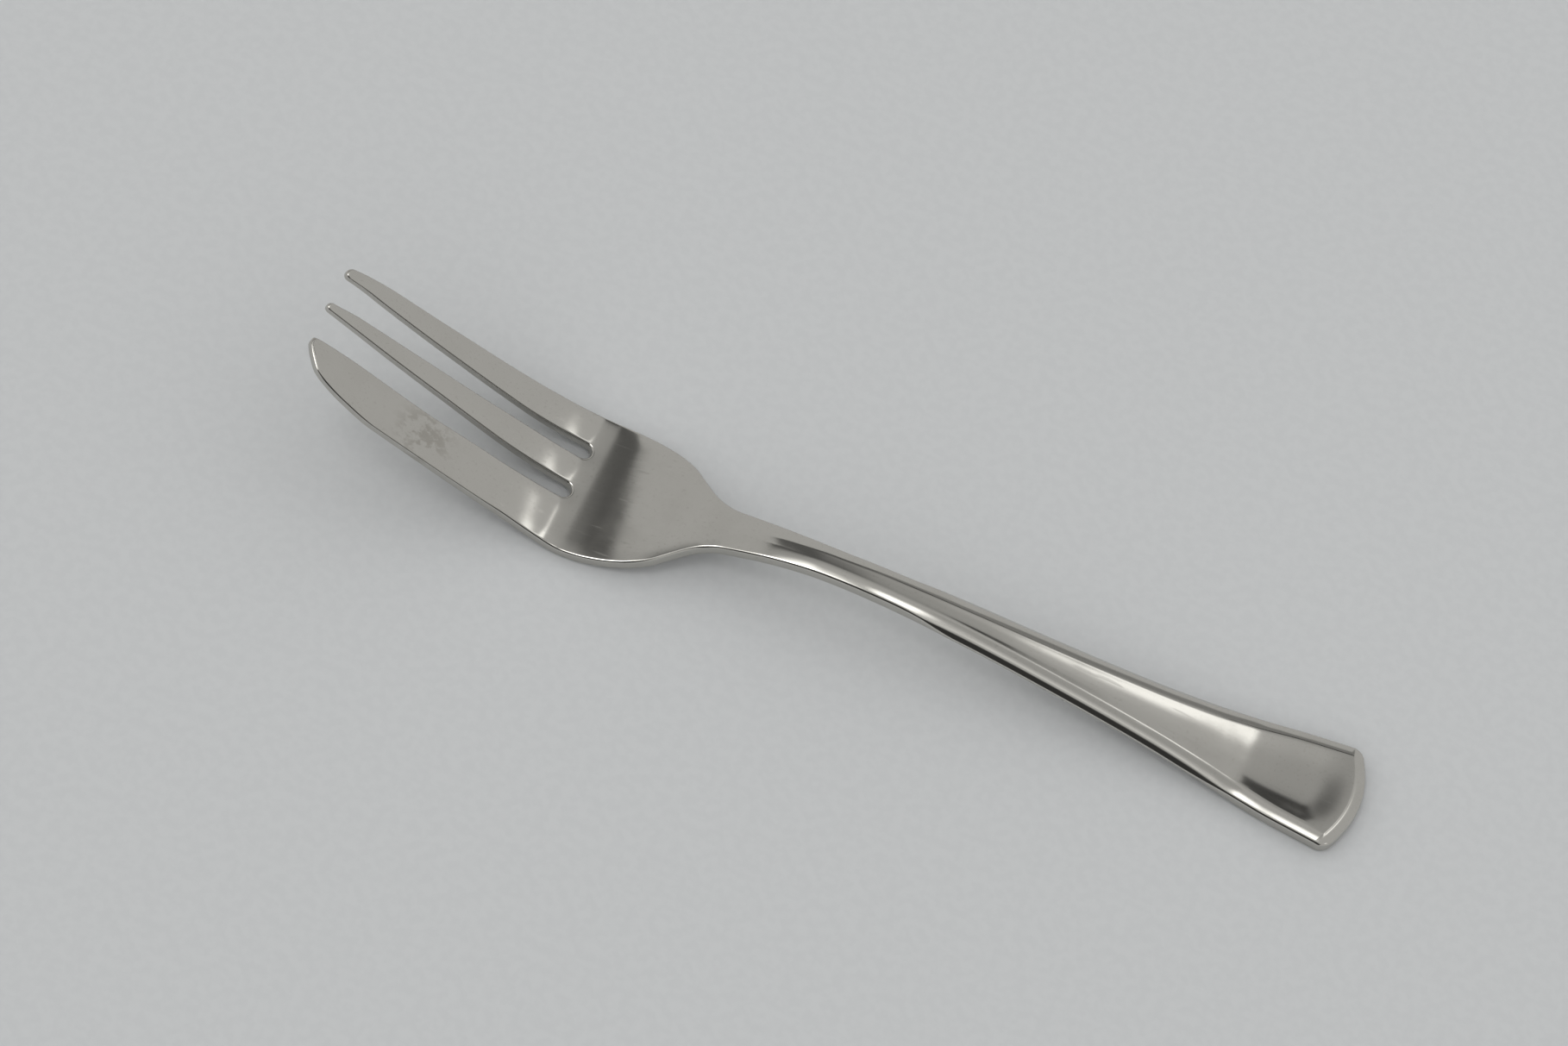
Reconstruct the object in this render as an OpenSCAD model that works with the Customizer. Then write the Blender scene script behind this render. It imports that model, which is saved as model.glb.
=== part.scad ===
// Pastry fork, pressed from one blank of stainless steel.
// Millimetres. +X runs along the fork from the tines to the handle end, +Z is up.
// The fork lies on its belly and on the handle end. The origin is the middle of its
// length and width, at the level of the surface it lies on.

/* [Overall] */
// Length from the tine tips to the end of the handle
fork_length = 150; // [135:1:170]
// Height of the underside of the tine tips above the table
tip_rise = 14.8; // [10:0.1:20]
// Height of the underside of the handle's arch above the table
arch_rise = 4.9; // [3:0.1:9]

/* [Head] */
// Length from the tips to the lowest place of the belly
belly_at = 40.6; // [36:0.1:46]
// Length from the tips to the end of the shoulders
head_length = 60; // [55:0.5:66]
// Width of the head across the belly
head_width = 22.5; // [20:0.1:26]
// Length of the two gaps between the tines
tine_length = 38.4; // [30:0.1:39]
// Width of both gaps at their round roots
gap_root_width = 2.5; // [1.6:0.1:3]
// Radius of the rounding at the tips of the two slim tines
tip_radius = 0.6; // [0.3:0.05:0.7]

/* [Neck and handle] */
// Length from the end of the shoulders to the narrowest place
neck_length = 15.4; // [12:0.1:20]
// Length from the end of the shoulders to the top of the arch
arch_length = 19.1; // [16:0.1:26]
// Width where the shoulders end
shoulder_end_width = 6.6; // [5:0.1:8]
// Width at the narrowest place
neck_width = 4.85; // [3.6:0.1:6]
// Width at the end of the handle
end_width = 16.8; // [12:0.1:20]
// How far the end of the handle bows out
end_bow = 2.4; // [0.5:0.1:4]
// Radius of the two corners of the handle end
end_corner = 1.2; // [0.8:0.1:2.5]

/* [Metal] */
// Thickness at the tine tips
tip_thick = 1.15; // [0.9:0.05:1.6]
// Thickness at the belly
belly_thick = 1.65; // [1.2:0.05:2]
// Thickness where the shoulders end
shoulder_thick = 2.25; // [1.6:0.05:2.8]
// Thickness at the top of the arch
neck_thick = 2.35; // [1.8:0.05:3]
// Thickness at the end of the handle
end_thick = 2; // [1.5:0.05:2.6]
// Radius of the eased upper edges
edge_radius = 0.3; // [0.15:0.05:0.4]
// Radius of the eased lower edges of the head
back_radius = 0.35; // [0.15:0.05:0.5]
// Radius of the rounder lower edges of the neck
neck_back_radius = 0.95; // [0.5:0.05:1.2]
// Radius of the lower edges of the handle
handle_back_radius = 0.4; // [0.3:0.05:0.8]

/* [Panel of the handle] */
// Width of the rim that runs round the sunk panel
rim_width = 1.75; // [1:0.05:2.1]
// How far the rim slopes down to the edge
rim_drop = 0.4; // [0.1:0.02:0.6]
// Depth of the panel at its wide end
panel_depth = 0.36; // [0.1:0.02:0.6]
// Length over which the panel opens out behind the neck
panel_start = 20; // [14:1:28]
// Length over which the panel rises to the end rim
panel_rise = 4.8; // [3:0.1:9]

/* [Sides of the handle] */
// In the middle of the handle the sides slant and each lower edge stands out by this much
side_spread = 0.46; // [0.1:0.02:0.7]
// Width of a slanting side
side_width = 0.6; // [0.3:0.05:0.9]
// How much further a slanting side falls than the rim that runs on into it
side_drop = 0.25; // [0.05:0.05:0.4]
// Radius of the edge below a slanting side
side_radius = 0.12; // [0.05:0.01:0.2]
// Width over which the back curves up to meet a slanting side
back_width = 2.6; // [1.5:0.1:2.8]

/* [Hidden] */

// The tools that cut the gaps run past the metal by this much
overrun = 3;

// Side edges, given as shares of belly_at from the tips and of half the head's width
plain_edge_shares = [[0, 0.69], [0.05, 0.744], [0.11, 0.787], [0.17, 0.812], [0.33, 0.842],
    [0.61, 0.895], [0.8, 0.947]];
knife_edge_shares = [[0, 0.405], [0.015, 0.447], [0.045, 0.605], [0.085, 0.758], [0.14, 0.84],
    [0.2, 0.893], [0.31, 0.947], [0.5, 0.944], [0.75, 0.938], [0.9, 0.97]];

// Shoulders, as shares of the way from the belly and of the drop in width
shoulder_shares = [[0.1, 0.012], [0.24, 0.06], [0.39, 0.15], [0.49, 0.245], [0.58, 0.36],
    [0.71, 0.625], [0.8, 0.80], [0.88, 0.915]];

// Handle, as shares of the way from the narrowest place and of the gain in width
handle_shares = [[0.1, 0.018], [0.262, 0.0755], [0.423, 0.171], [0.605, 0.327], [0.716, 0.483],
    [0.797, 0.65], [0.877, 0.827], [0.958, 0.943]];

// Gap edges, as shares of tine_length from the tips and of half the head's width
plain_tine_inner_shares = [[-0.2, 0.57], [0, 0.57], [0.08, 0.577], [0.18, 0.56], [0.43, 0.527],
    [0.75, 0.507], [1, 0.515]];
middle_tine_upper_shares = [[-0.2, 0.14], [0, 0.148], [0.13, 0.208], [0.33, 0.244], [0.56, 0.276],
    [0.8, 0.31], [1, 0.32]];
middle_tine_lower_shares = [[-0.2, 0.04], [0, 0.04], [0.12, 0.026], [0.3, -0.008], [0.5, -0.04],
    [0.71, -0.073], [1, -0.09]];
knife_tine_inner_shares = [[-0.2, -0.6], [0, -0.46], [0.02, -0.405], [0.05, -0.375], [0.11, -0.356],
    [0.2, -0.344], [0.45, -0.355], [0.66, -0.33], [1, -0.308]];
// Middle of each gap's root, as a share of half the head's width
upper_root_share = 0.42;
lower_root_share = -0.2;

// Underside, as shares of each stretch and of its height
tine_rise_shares = [[0, 1], [0.21, 0.747], [0.48, 0.443], [0.61, 0.3], [0.74, 0.165],
    [0.875, 0.055], [0.95, 0.013]];
arch_rise_shares = [[0.05, 0.006], [0.125, 0.05], [0.3, 0.245], [0.5, 0.555], [0.7, 0.86],
    [0.85, 0.975]];
arch_fall_shares = [[0.1, 0.957], [0.21, 0.852], [0.42, 0.547], [0.625, 0.237], [0.73, 0.085],
    [0.79, 0.018]];
// Length of the flat on the underside of the handle end, as a share of the fall
end_flat_share = 0.16;

// Depth of the panel along the handle, as shares of its length and of panel_depth
panel_depth_shares = [[0, 0], [0.28, 0.04], [0.39, 0.13], [0.5, 0.22], [0.61, 0.31], [0.72, 0.42],
    [0.83, 0.57], [0.91, 0.85], [1, 1]];
// The panel is nearly flat in the middle and steepens towards its crest, which is eased
dish_power = 3;
dish_crest_power = 16;
// Where the sides of the handle slant, as shares of its length and of their full slant
side_shares = [[0, 0], [0.27, 0], [0.37, 1], [0.75, 1], [0.9, 0], [1, 0]];
// How much of the metal left at such an edge the curved back takes away
back_lift_share = 0.8;
side_power = 1.2;
back_power = 2;
// How sharply the rim's slope starts: small is a crisp crest
crest_soft_share = 0.22;
// How much of the rim's drop comes from its rounding, the rest from its slope
rim_round_share = 0.5;

narrow_at = head_length + neck_length;
arch_at = head_length + arch_length;
fall_length = fork_length - arch_at;
head_half = head_width / 2;

// Slope of a smooth curve at knot i of table t, without overshoot
function rise(t, i) = (t[i + 1][1] - t[i][1]) / (t[i + 1][0] - t[i][0]);
function slope(t, i) =
    i == 0 ? rise(t, 0)
    : i == len(t) - 1 ? rise(t, i - 1)
    : rise(t, i - 1) * rise(t, i) <= 0 ? 0
    : 2 * rise(t, i - 1) * rise(t, i) / (rise(t, i - 1) + rise(t, i));
function knot_before(t, x, i = 0) = i >= len(t) - 2 || x < t[i + 1][0] ? i : knot_before(t, x, i + 1);
function hermite(a, b, sa, sb, w, u) =
    (1 + 2 * u) * pow(1 - u, 2) * a + u * pow(1 - u, 2) * w * sa
    + u * u * (3 - 2 * u) * b - u * u * (1 - u) * w * sb;
// Smooth curve through the knots of table t
function curve(t, x, i = undef) =
    is_undef(i) ? curve(t, x, knot_before(t, x))
    : let (w = t[i + 1][0] - t[i][0])
      hermite(t[i][1], t[i + 1][1], slope(t, i), slope(t, i + 1), w,
          max(0, min(1, (x - t[i][0]) / w)));
// Places the shares of a table between two stations and two values
function knots(shares, from, to, a, b) = [for (k = shares) [from + (to - from) * k[0], a + (b - a) * k[1]]];
function ease(u) = let (v = max(0, min(1, u))) v * v * (3 - 2 * v);

// Half widths of the blank on the plain side and on the knife side, s from the tips
shoulder_knots = concat([[belly_at, head_half]],
    knots(shoulder_shares, belly_at, head_length, head_half, shoulder_end_width / 2),
    [[head_length, shoulder_end_width / 2], [narrow_at, neck_width / 2]],
    knots(handle_shares, narrow_at, fork_length - end_bow, neck_width / 2, end_width / 2),
    [[fork_length - end_bow, end_width / 2]]);
plain_knots = concat(knots(plain_edge_shares, 0, belly_at, 0, head_half), shoulder_knots);
knife_knots = concat(knots(knife_edge_shares, 0, belly_at, 0, head_half), shoulder_knots);

// How far a quarter circle of radius r has fallen at distance d from its end
function round_off(d, r) = d >= r ? 0 : r - sqrt(max(0, r * r - pow(r - max(0, d), 2)));

// Stations near the handle end bow out with it
function bow(s) = end_bow * ease((s - narrow_at) / (fork_length - narrow_at));
function end_gap(s) = fork_length - s;
function corner_cut(s) = round_off(end_gap(s), end_corner);
// How far the sides of the handle slant, from 0 to 1
function panel_share(s) = (s - head_length) / (fork_length - head_length);
function side(s) = curve(side_shares, max(0, panel_share(s)));
// Half widths of the upper face at station s
function plain_half(s) =
    curve(plain_knots, s - bow(s) + lean(s)) + side_spread * side(s)
    - round_off(s, tip_radius) - corner_cut(s);
function knife_half(s) =
    curve(knife_knots, s - bow(s) + lean(s)) + side_spread * side(s) - corner_cut(s);

// Underside of the blank along its middle
under_knots = concat(
    knots(tine_rise_shares, 0, belly_at, 0, tip_rise),
    [[belly_at, 0]],
    knots(arch_rise_shares, belly_at, arch_at, 0, arch_rise),
    [[arch_at, arch_rise]],
    knots(arch_fall_shares, arch_at, fork_length, 0, arch_rise),
    [[fork_length - fall_length * end_flat_share, 0], [fork_length, 0]]);
thick_knots = [[0, tip_thick], [belly_at, belly_thick], [head_length, shoulder_thick],
    [arch_at, neck_thick], [fork_length, end_thick]];
back_knots = [[0, back_radius], [belly_at, back_radius], [head_length, neck_back_radius],
    [arch_at, neck_back_radius], [fork_length - fall_length / 2, handle_back_radius],
    [fork_length, handle_back_radius]];
function thickness(x) = curve(thick_knots, x);
function back_edge(x) = curve(back_knots, x);
// The metal is measured square to its underside, so the gaps and edges lean with it
slope_step_share = 0.001;
function under_slope(x) =
    let (h = fork_length * slope_step_share, a = max(0, min(x, fork_length - h) - h), b = max(x, h) + h)
    (curve(under_knots, min(b, fork_length)) - curve(under_knots, a)) / (min(b, fork_length) - a);
function square_to(x) = let (k = under_slope(x)) [-k, 1] / norm([k, 1]);
function lean(x) = square_to(x)[0] * thickness(x);
// The end walls of the tips lean too: the fork is stretched by what that would cost its length
tip_back = let (q = square_to(0)[0]) back_radius * (1 + q - norm([1, q]));
// Place at height h over the underside at x, also a little past the tips
function place(x, y, h) =
    let (k = max(0, min(fork_length, x)), q = square_to(k),
        z = curve(under_knots, k) + (x - k) * under_slope(k))
    [x + q[0] * h - fork_length / 2 - tip_back * (1 - x / fork_length), y, z + q[1] * h];

// The panel: how far its crest lies from the middle, and how deep it is
function opening(s) = let (u = max(0, min(1, (s - head_length) / panel_start))) u * (2 - u);
function crest(s, half) = max(0, half - rim_width - side_spread * side(s)) * opening(s);
function depth(s) = panel_depth * curve(panel_depth_shares, max(0, panel_share(s)))
    * ease((end_gap(s) - rim_width) / panel_rise);
// The rim slopes down from the crest and rounds over towards the edge. Its slope fades in
// along the shoulders
function slope_down(s) = rim_drop * ease((s - belly_at) / (narrow_at - belly_at));
function soft_line(v) = (sqrt(v * v + pow(crest_soft_share, 2)) - crest_soft_share)
    / (sqrt(1 + pow(crest_soft_share, 2)) - crest_soft_share);
function rim_fall(v) = (1 - rim_round_share) * soft_line(v) + rim_round_share * v * v;

// Distance from the edge of the plan, round the corners of the handle end too
function edge_gap(s, y, half) =
    let (side = half + corner_cut(s) - abs(y), back = end_gap(s))
    side < end_corner && back < end_corner
        ? end_corner - norm([end_corner - side, end_corner - back])
        : min(side, back, half - abs(y));

// One place on the upper and one on the lower face: s along the fork, y across it
function rim_way(s, y, half) =
    let (c = crest(s, half), across = max(0, abs(y) - c) / (half - side_width * side(s) - c),
        along = max(0, 1 - end_gap(s) / rim_width) * opening(s))
    side(s) > 0 ? across : min(1, norm([across, along]));
function dish(s, y, half) =
    let (c = crest(s, half), u = c > 0 ? abs(y) / c : 1, k = dish_power / dish_crest_power)
    u >= 1 ? 0 : 1 - (pow(u, dish_power) - k * pow(u, dish_crest_power)) / (1 - k);
function bowed(s, y, half) = s - bow(s) * pow(y / (half + corner_cut(s)), 2);
// The slanting side and the radius of its edge, which is the eased edge elsewhere
function side_fall(s, gap) = side(s) <= 0 ? 0
    : side_drop * side(s) * pow(max(0, 1 - gap / (side_width * side(s))), side_power);
function edge_ease(s) = edge_radius + (side_radius - edge_radius) * side(s);
// What is left of the thickness at the edge, and the radius of the lower edge there
function edge_left(s, half) = thickness(s) - slope_down(s) * rim_fall(rim_way(s, half, half))
    - side_fall(s, 0) - edge_ease(s);
function lower_ease(s, half) = back_edge(s) * (1 - side(s))
    + edge_left(s, half) * (1 - back_lift_share) / 2 * side(s);
function back_lift(s, gap, half) = back_lift_share * side(s) * edge_left(s, half)
    * pow(max(0, 1 - gap / back_width), back_power);
function upper(s, y, half) =
    let (x = bowed(s, y, half), gap = edge_gap(s, y, half))
    place(x, y, thickness(x) - depth(s) * dish(s, y, half)
        - slope_down(s) * rim_fall(rim_way(s, y, half))
        - side_fall(s, gap) - round_off(min(gap, s), edge_ease(s)));
function lower(s, y, half) =
    let (x = bowed(s, y, half), gap = edge_gap(s, y, half))
    place(x, y, back_lift(s, gap, half) + round_off(min(gap, s), lower_ease(s, half)));

// Places across one half: panel, rim and eased edge
panel_steps_shares = [0, 0.3, 0.55, 0.75, 0.9, 1];
rim_steps_shares = [0.15, 0.4, 0.7, 1];
edge_steps_shares = [0.72, 0.42, 0.134, 0];
least_panel_share = 0.4;
function across(s, half) =
    let (c = max(crest(s, half), half * least_panel_share),
        r = edge_radius + (side_width + side_radius - edge_radius) * side(s))
    concat([for (k = panel_steps_shares) c * k],
        [for (k = rim_steps_shares) c + (half - r - c) * k],
        [for (k = edge_steps_shares) half - r * k]);
function reversed(list) = [for (i = [len(list) - 1:-1:0]) list[i]];

// Stations along the blank, close together where the outline turns quickly
tip_steps = 9;
tine_steps = 9;
shoulder_steps = 16;
neck_steps = 9;
handle_steps = 15;
end_steps = 7;
tip_zone_share = 0.25;
function spaced(from, to, n) = [for (i = [0:n - 1]) from + (to - from) * i / n];
stations = concat(
    [for (k = reversed(edge_steps_shares)) edge_radius * k],
    [for (i = [1:tip_steps]) let (s = belly_at * tip_zone_share * (1 - cos(90 * i / tip_steps)))
        if (s > edge_radius) s],
    [for (s = spaced(belly_at * tip_zone_share, belly_at, tine_steps)) if (s > belly_at * tip_zone_share) s],
    spaced(belly_at, head_length, shoulder_steps),
    spaced(head_length, arch_at, neck_steps),
    spaced(arch_at, fork_length - panel_rise - rim_width, handle_steps),
    spaced(fork_length - panel_rise - rim_width, fork_length - rim_width, end_steps),
    [for (k = concat([0], rim_steps_shares)) fork_length - rim_width + (rim_width - edge_radius) * k],
    [for (k = edge_steps_shares) fork_length - edge_radius * k]);

// The blank with its eased edges and its sunk panel, before the gaps are cut
module blank() {
    rows = [for (s = stations)
        concat([for (y = reversed(across(s, knife_half(s)))) [s, -y, knife_half(s)]],
            [for (y = across(s, plain_half(s))) if (y > 0) [s, y, plain_half(s)]])];
    n = len(rows);
    m = len(rows[0]);
    top = [for (row = rows, p = row) upper(p[0], p[1], p[2])];
    bottom = [for (row = rows, p = row) lower(p[0], p[1], p[2])];
    low = n * m;
    faces = concat(
        [for (i = [0:n - 2], j = [0:m - 2], h = [0, 1]) h == 0
            ? [i * m + j, i * m + j + 1, (i + 1) * m + j]
            : [i * m + j + 1, (i + 1) * m + j + 1, (i + 1) * m + j]],
        [for (i = [0:n - 2], j = [0:m - 2], h = [0, 1]) h == 0
            ? [low + i * m + j, low + (i + 1) * m + j, low + i * m + j + 1]
            : [low + i * m + j + 1, low + (i + 1) * m + j, low + (i + 1) * m + j + 1]],
        [for (i = [0:n - 2], h = [0, 1]) h == 0
            ? [i * m, (i + 1) * m, low + i * m]
            : [(i + 1) * m, low + (i + 1) * m, low + i * m]],
        [for (i = [0:n - 2], h = [0, 1]) h == 0
            ? [i * m + m - 1, low + i * m + m - 1, (i + 1) * m + m - 1]
            : [(i + 1) * m + m - 1, low + i * m + m - 1, low + (i + 1) * m + m - 1]],
        [for (j = [0:m - 2], h = [0, 1]) h == 0
            ? [j, low + j, j + 1]
            : [j + 1, low + j, low + j + 1]],
        [for (j = [0:m - 2], h = [0, 1]) h == 0
            ? [(n - 1) * m + j, (n - 1) * m + j + 1, low + (n - 1) * m + j]
            : [(n - 1) * m + j + 1, low + (n - 1) * m + j + 1, low + (n - 1) * m + j]]);
    polyhedron(concat(top, bottom), faces, convexity = 6);
}

// Plan of one gap, from the mouth along one edge, round the root and back
gap_steps = 14;
gap_step_power = 1.5;
root_steps = 8;
function gap_edge(shares, s) = head_half * curve(shares, s / tine_length);
function flare(s) = round_off(s, tip_radius);
function gap_plan(lower_edge, upper_edge, root_share, lower_flare, upper_flare) =
    let (r = gap_root_width / 2, c = tine_length - r, mid = head_half * root_share,
        places = [for (i = [0:gap_steps - 1]) c * pow(i / gap_steps, gap_step_power)])
    concat(
        [[-overrun, gap_edge(lower_edge, 0) - lower_flare]],
        [for (s = places) [s, gap_edge(lower_edge, s) - flare(s) * lower_flare / tip_radius]],
        [for (i = [0:root_steps]) [c + r * sin(180 * i / root_steps), mid - r * cos(180 * i / root_steps)]],
        [for (s = reversed(places)) [s, gap_edge(upper_edge, s) + flare(s) * upper_flare / tip_radius]],
        [[-overrun, gap_edge(upper_edge, 0) + upper_flare]]);

// The plan grown outwards by d
function grown(plan, d) =
    [for (i = [0:len(plan) - 1])
        let (a = plan[max(0, i - 1)], b = plan[min(len(plan) - 1, i + 1)], t = (b - a) / norm(b - a))
        [plan[i][0] + t[1] * d, plan[i][1] - t[0] * d]];

// Cutter for one gap, square to the metal, with its sides flared to ease the edges
// by this radius
gap_ease = 0.25;
flare_shares = [[0.6, 0.6], [0.3, -0.3], [0, -1]];
function foot(x) = x - lean(x - lean(x));
module gap(plan) {
    layers = concat(
        [[gap_ease, -overrun, 0]],
        [for (k = flare_shares) [gap_ease * k[0], gap_ease * -k[1], 0]],
        [for (k = reversed(flare_shares)) [gap_ease * k[0], gap_ease * k[1], 1]],
        [[gap_ease, overrun, 1]]);
    m = len(plan);
    n = len(layers);
    points = [for (layer = layers, p = grown(plan, layer[0]))
        place(foot(p[0]), p[1], layer[1] + layer[2] * thickness(foot(p[0])))];
    top = (n - 1) * m;
    faces = concat(
        [for (j = [0:ceil(m / 2) - 2], h = [0, 1]) if (h == 0 || m - 2 - j > j + 1) h == 0
            ? [j, j + 1, m - 1 - j]
            : [j + 1, m - 2 - j, m - 1 - j]],
        [for (i = [0:n - 2], j = [0:m - 1], h = [0, 1]) let (k = (j + 1) % m) h == 0
            ? [i * m + j, (i + 1) * m + j, i * m + k]
            : [i * m + k, (i + 1) * m + j, (i + 1) * m + k]],
        [for (j = [0:ceil(m / 2) - 2], h = [0, 1]) if (h == 0 || m - 2 - j > j + 1) h == 0
            ? [top + j, top + m - 1 - j, top + j + 1]
            : [top + j + 1, top + m - 1 - j, top + m - 2 - j]]);
    polyhedron(points, faces, convexity = 6);
}

module pastry_fork() {
    color([0.76, 0.75, 0.72]) difference() {
        blank();
        gap(gap_plan(middle_tine_upper_shares, plain_tine_inner_shares, upper_root_share,
            tip_radius, tip_radius));
        gap(gap_plan(knife_tine_inner_shares, middle_tine_lower_shares, lower_root_share,
            0, tip_radius));
    }
}

pastry_fork();
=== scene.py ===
# %% [markdown]
# # A pastry fork in polished steel
# A pastry fork is a small fork for cake. It has two slim tines and one broad tine whose
# outer edge cuts, and it is pressed from a single blank of stainless steel: stamped flat,
# bent at the belly and the neck, and struck between dies that leave a shallow sunk panel
# in the handle. There are no joins, so the model is one closed mesh as well.
# The measured fork from the CAD work is loaded first. It fixes the size and the place.

# %% Load the measured fork
import math

import bmesh
import bpy
import numpy as np
from mathutils import Matrix, Vector
from mathutils.kdtree import KDTree


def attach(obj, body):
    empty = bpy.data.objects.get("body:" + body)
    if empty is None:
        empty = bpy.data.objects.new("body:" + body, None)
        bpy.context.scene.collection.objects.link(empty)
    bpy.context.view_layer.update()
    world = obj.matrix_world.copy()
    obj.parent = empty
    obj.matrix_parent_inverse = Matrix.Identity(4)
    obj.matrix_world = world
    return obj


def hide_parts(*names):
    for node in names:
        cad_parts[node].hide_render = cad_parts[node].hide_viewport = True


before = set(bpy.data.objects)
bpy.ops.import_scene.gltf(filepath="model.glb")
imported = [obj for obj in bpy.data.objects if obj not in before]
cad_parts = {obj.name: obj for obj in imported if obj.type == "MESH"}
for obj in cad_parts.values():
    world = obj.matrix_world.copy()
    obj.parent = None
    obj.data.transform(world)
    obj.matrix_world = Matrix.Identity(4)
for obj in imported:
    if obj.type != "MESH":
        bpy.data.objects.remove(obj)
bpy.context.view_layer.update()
MM = 0.001

# %% [markdown]
# ## The camera
# The picture looks down on the fork from its near side, through a long lens far away,
# which keeps the two ends nearly the same size. The camera is placed by two angles, a
# distance and a turn, as a tripod is set.

# %% Place the camera
CAMERA_TARGET = Vector((-9.65, 7.56, 0)) * MM
CAMERA_ELEVATION = math.radians(54.747)
CAMERA_AZIMUTH = math.radians(9.503)
CAMERA_ROLL = math.radians(14.72)
CAMERA_DISTANCE = 669.66 * MM
SENSOR_WIDTH = 36.0
FOCAL_LENGTH = 115.28
CLIP_START = 10 * MM

to_right = Vector((math.cos(CAMERA_AZIMUTH), math.sin(CAMERA_AZIMUTH), 0))
forward = Vector((-math.sin(CAMERA_AZIMUTH) * math.cos(CAMERA_ELEVATION),
                  math.cos(CAMERA_AZIMUTH) * math.cos(CAMERA_ELEVATION),
                  -math.sin(CAMERA_ELEVATION)))
upward = to_right.cross(forward)
turn = Matrix.Rotation(CAMERA_ROLL, 3, -forward)
axes = Matrix((turn @ to_right, turn @ upward, turn @ -forward)).transposed()

camera_data = bpy.data.cameras.new("camera")
camera_data.sensor_width = SENSOR_WIDTH
camera_data.lens = FOCAL_LENGTH
camera_data.clip_start = CLIP_START
camera = bpy.data.objects.new("camera", camera_data)
bpy.context.scene.collection.objects.link(camera)
camera.matrix_world = Matrix.Translation(CAMERA_TARGET - forward * CAMERA_DISTANCE) @ axes.to_4x4()
bpy.context.scene.camera = camera
print("camera at, mm:", [round(v / MM, 1) for v in camera.matrix_world.translation])

# %% [markdown]
# ## Smooth curves through a few knots
# A polished surface shows every kink, because a reflection turns twice as fast as the
# metal does. So the outlines and heights are curves through a few knots that never
# overshoot them. The side view and the plain edge are then faired as well: averaged over
# a short length, as a file would do it.

# %% Helpers for smooth curves
def through_knots(knots, at):
    """Smooth curve through the knots, without overshoot, at the given places"""
    knots = np.asarray(knots, float)
    x, y = knots.T
    width = np.diff(x)
    rise = np.diff(y) / width
    slope = np.zeros(len(x))
    slope[0], slope[-1] = rise[0], rise[-1]
    same_way = rise[:-1] * rise[1:] > 0
    total = np.where(same_way, rise[:-1] + rise[1:], 1)
    slope[1:-1] = np.where(same_way, 2 * rise[:-1] * rise[1:] / total, 0)
    i = np.clip(np.searchsorted(x, at, side="right") - 1, 0, len(x) - 2)
    u = np.clip((at - x[i]) / width[i], 0, 1)
    return ((1 + 2 * u) * (1 - u) ** 2 * y[i] + u * (1 - u) ** 2 * width[i] * slope[i]
            + u * u * (3 - 2 * u) * y[i + 1] - u * u * (1 - u) * width[i] * slope[i + 1])


def faired(values, step, radius):
    """Averages evenly spaced values over a radius and keeps both ends where they are"""
    n = max(1, int(round(radius / step)))
    weights = np.hanning(2 * n + 3)[1:-1]
    before = 2 * values[0] - values[n:0:-1]
    after = 2 * values[-1] - values[-2:-n - 2:-1]
    padded = np.concatenate([before, values, after])
    return np.convolve(padded, weights / weights.sum(), mode="valid")


def ease(u):
    """Runs from 0 to 1 with a soft start and a soft end"""
    v = np.clip(u, 0, 1)
    return v * v * (3 - 2 * v)


def eased(at, start, end):
    """Runs softly from 0 at the start to 1 at the end"""
    return ease((at - start) / (end - start))


def stretched(shares, start, end, first, last):
    """Places a table of shares between two stations and two values"""
    return [(start + (end - start) * a, first + (last - first) * b) for a, b in shares]


print("a soft start after a tenth of the way:", round(float(ease(0.1)), 3))

# %% [markdown]
# ## The fork's own sizes
# All sizes are in millimetres, and s is the distance from the tips of the tines along the
# table. The fork could be drawn freehand over a picture, but with a few named sizes, the
# same ones as in the measured solid, the dressed fork lies on that solid.

# %% Sizes
LENGTH, HEAD_WIDTH, BELLY_AT, HEAD_LENGTH = 150.0, 22.5, 40.6, 60.0
TIP_RISE, ARCH_RISE = 14.8, 4.9
TINE_LENGTH, ROOT_WIDTH = 38.4, 2.5
NARROW_AT, ARCH_AT = HEAD_LENGTH + 15.4, HEAD_LENGTH + 19.1
SHOULDER_WIDTH, NECK_WIDTH, END_WIDTH = 6.6, 4.85, 16.8
END_BOW, END_CORNER = 2.4, 1.2
HEAD_HALF = HEAD_WIDTH / 2
print("neck", NECK_WIDTH, "mm and handle end", END_WIDTH, "mm wide")

# %% [markdown]
# ## The side view
# Seen from the side, the sheet falls from the raised tips to the belly, rises over the
# arch of the handle and comes down to lie flat at the end. The thickness is measured
# square to the underside, so where the sheet is bent up, its edges lean with it, as on a
# fork that was stamped flat and bent later.

# %% Tables of the side view
TINE_RISE = [(0, 1), (0.21, 0.747), (0.48, 0.443), (0.61, 0.3), (0.74, 0.165),
             (0.875, 0.055), (0.95, 0.013)]
ARCH_UP = [(0.05, 0.006), (0.125, 0.05), (0.3, 0.245), (0.5, 0.555), (0.7, 0.86),
           (0.85, 0.975)]
ARCH_DOWN = [(0.1, 0.957), (0.21, 0.852), (0.42, 0.547), (0.625, 0.237), (0.73, 0.085),
             (0.79, 0.018), (0.84, 0), (1, 0)]
TIP_THICK, BELLY_THICK, SHOULDER_THICK, ARCH_THICK, END_THICK = 1.15, 1.65, 2.25, 2.35, 2.0
STEP = 0.05
STATIONS = np.linspace(0, LENGTH, int(LENGTH / STEP) + 1)
FAIRING = 1.0

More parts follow.
